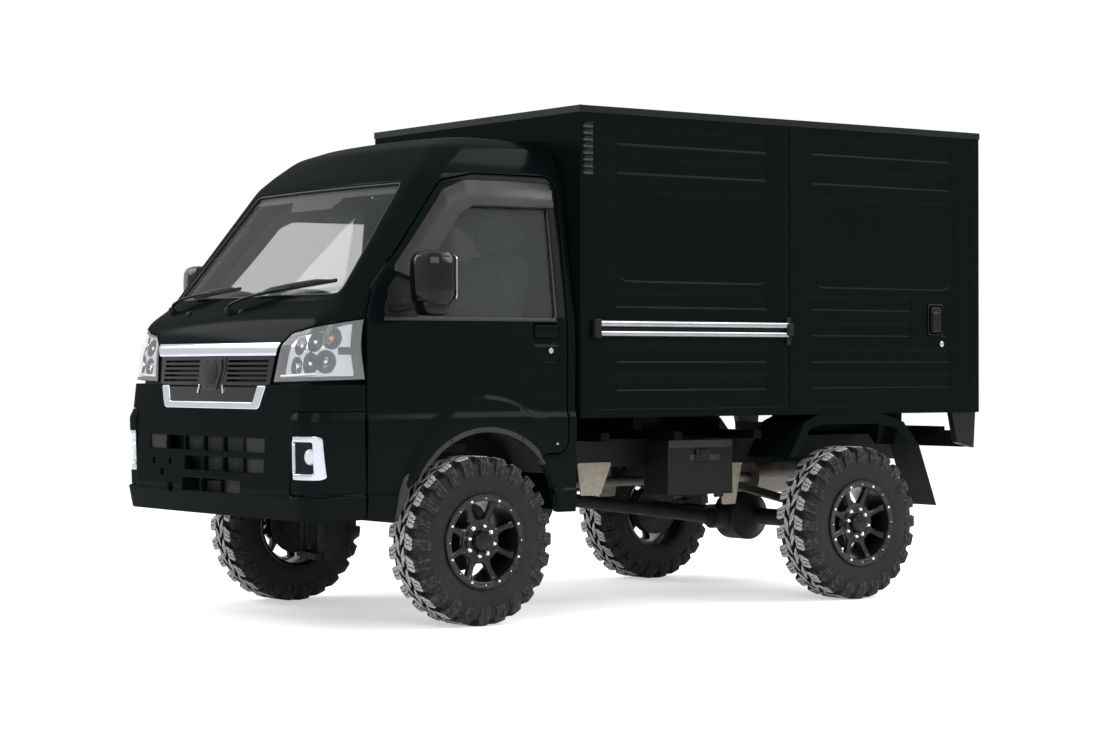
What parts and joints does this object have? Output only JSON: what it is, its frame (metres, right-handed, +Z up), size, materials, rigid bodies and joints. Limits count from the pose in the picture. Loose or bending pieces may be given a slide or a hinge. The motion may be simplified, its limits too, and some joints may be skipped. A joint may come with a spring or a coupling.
{
  "type": "kei panel truck",
  "caption": "Small high-roof cab-over kei truck with a closed ribbed cargo box, raised off-road tyres, hinged cab and rear doors, and steered front wheels.",
  "frame": {"origin": "on the ground, midway along the overall length and width", "axes": "+Z up; the truck faces -Y; +X is its left side"},
  "size_m": [1.9232, 3.395, 1.975],
  "materials": {
    "body_paint": "gloss",
    "box_paint": "gloss",
    "frame_paint": "satin",
    "chrome_trim": "polished",
    "black_plastic": "matte",
    "gloss_black": "gloss",
    "lamp_clear": "clear",
    "lamp_red": "gloss",
    "window_glass": "clear",
    "dash_plastic": "matte",
    "seat_fabric": "woven",
    "rail_metal": "satin",
    "tool_case": "satin",
    "bracket_paint": "matte",
    "rubber_flap": "matte",
    "iron_dark": "rough",
    "exhaust_steel": "weathered",
    "alloy_black": "satin black",
    "tyre_rubber": "matte"
  },
  "bodies": {
    "truck": {"cab_floor": "body_paint", "cab_glass": "window_glass", "cab_roof": "body_paint", "cab_shell": "body_paint", "cargo_box": "box_paint", "dashboard": "dash_plastic", "door_rails": "rail_metal", "driveline": "iron_dark", "engine": "iron_dark", "exhaust": "exhaust_steel", "front_bumper": "body_paint", "fuel_tank": "iron_dark", "grille": "gloss_black", "grille_frame": "chrome_trim", "ladder_frame": "frame_paint", "lamps_front": "lamp_clear", "lift_brackets": "bracket_paint", "mudflaps": "rubber_flap", "rear_arches": "body_paint", "rear_axle": "iron_dark", "rear_bumper": "frame_paint", "rear_lamps": "lamp_red", "roof_rail": "frame_paint", "seats": "seat_fabric", "sliding_door_left": "box_paint", "sliding_door_right": "box_paint", "steering_wheel": "dash_plastic", "suspension": "iron_dark", "toolbox": "tool_case", "wipers": "black_plastic"},
    "cab_door_left": {"door_left": "body_paint", "door_glass_left": "window_glass", "door_fittings_left": "black_plastic"},
    "rear_door_left": {"rear_door_left": "box_paint"},
    "steering_left": {"knuckle_left": "iron_dark"},
    "wheel_front_left": {"rim_front_left": "alloy_black", "tyre_front_left": "tyre_rubber"},
    "wheel_rear_left": {"rim_rear_left": "alloy_black", "tyre_rear_left": "tyre_rubber"},
    "cab_door_right": {"door_right": "body_paint", "door_glass_right": "window_glass", "door_fittings_right": "black_plastic"},
    "rear_door_right": {"rear_door_right": "box_paint"},
    "steering_right": {"knuckle_right": "iron_dark"},
    "wheel_front_right": {"rim_front_right": "alloy_black", "tyre_front_right": "tyre_rubber"},
    "wheel_rear_right": {"rim_rear_right": "alloy_black", "tyre_rear_right": "tyre_rubber"},
    "toolbox_lid": {"toolbox_lid": "tool_case"}
  },
  "joints": [
    {"name": "cab_door_left_hinge", "type": "hinge", "parent": "truck", "child": "cab_door_left", "pos_m": [0.722, -1.4235, 0.6], "axis": [0, 0, -1], "range_deg": [0, 60]},
    {"name": "rear_door_left_hinge", "type": "hinge", "parent": "truck", "child": "rear_door_left", "pos_m": [0.698, 1.69, 1.3], "axis": [0, 0, -1], "range_deg": [0, 110]},
    {"name": "steering_left", "type": "hinge", "parent": "truck", "child": "steering_left", "pos_m": [0.545, -0.9455, 0.3175], "axis": [0, 0, 1], "range_deg": [-30, 30]},
    {"name": "wheel_front_left_spin", "type": "hinge", "parent": "steering_left", "child": "wheel_front_left", "pos_m": [0.68, -0.9455, 0.3175], "axis": [1, 0, 0], "continuous": true},
    {"name": "wheel_rear_left_spin", "type": "hinge", "parent": "truck", "child": "wheel_rear_left", "pos_m": [0.68, 0.9545, 0.3175], "axis": [1, 0, 0], "continuous": true},
    {"name": "cab_door_right_hinge", "type": "hinge", "parent": "truck", "child": "cab_door_right", "pos_m": [-0.722, -1.4235, 0.6], "axis": [0, 0, 1], "range_deg": [0, 60]},
    {"name": "rear_door_right_hinge", "type": "hinge", "parent": "truck", "child": "rear_door_right", "pos_m": [-0.698, 1.69, 1.3], "axis": [0, 0, 1], "range_deg": [0, 110]},
    {"name": "steering_right", "type": "hinge", "parent": "truck", "child": "steering_right", "pos_m": [-0.545, -0.9455, 0.3175], "axis": [0, 0, 1], "range_deg": [-30, 30]},
    {"name": "wheel_front_right_spin", "type": "hinge", "parent": "steering_right", "child": "wheel_front_right", "pos_m": [-0.68, -0.9455, 0.3175], "axis": [1, 0, 0], "continuous": true},
    {"name": "wheel_rear_right_spin", "type": "hinge", "parent": "truck", "child": "wheel_rear_right", "pos_m": [-0.68, 0.9545, 0.3175], "axis": [1, 0, 0], "continuous": true},
    {"name": "toolbox_lid_hinge", "type": "hinge", "parent": "truck", "child": "toolbox_lid", "pos_m": [0.564, 0.2545, 0.443], "axis": [0, 1, 0], "range_deg": [0, 90]}
  ],
  "couplings": [
    {"joint": "steering_right", "follows": "steering_left", "ratio": 1}
  ]
}
